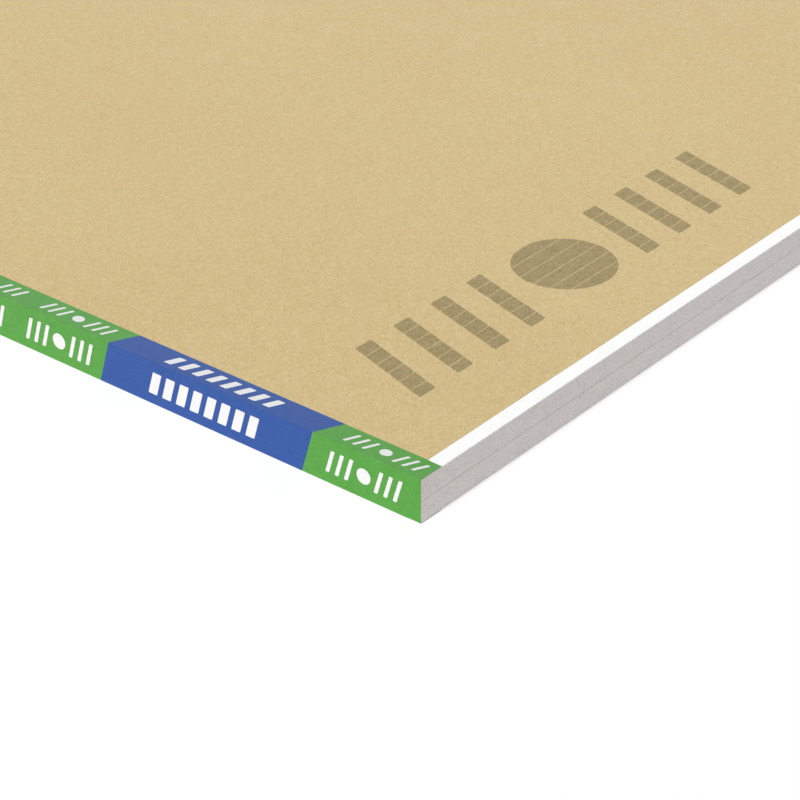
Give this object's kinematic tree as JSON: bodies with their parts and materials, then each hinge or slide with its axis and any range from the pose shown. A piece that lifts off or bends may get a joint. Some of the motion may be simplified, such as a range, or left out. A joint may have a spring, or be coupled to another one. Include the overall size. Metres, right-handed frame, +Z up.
{
  "type": "drywall sheet pair",
  "caption": "Flat drywall sheets with paper-faced gypsum cores, bound face to face by a tape folded over each end, for lining walls and ceilings.",
  "frame": {"origin": "middle of the underside, at the height of the tapes' lower flaps, which the pair rests on", "axes": "+X along the sheets' length, +Y across their width, +Z up through their thickness"},
  "size_m": [2.4402, 1.22, 0.0202],
  "materials": {
    "gypsum": "matt",
    "face_paper": "matt",
    "back_paper": "matt",
    "end_tape": "satin"
  },
  "bodies": {
    "root": {"upper_core": "gypsum", "upper_face_paper": "face_paper", "upper_back_paper": "back_paper", "lower_core": "gypsum", "lower_face_paper": "face_paper", "lower_back_paper": "back_paper", "near_end_tape": "end_tape", "far_end_tape": "end_tape"}
  },
  "joints": []
}
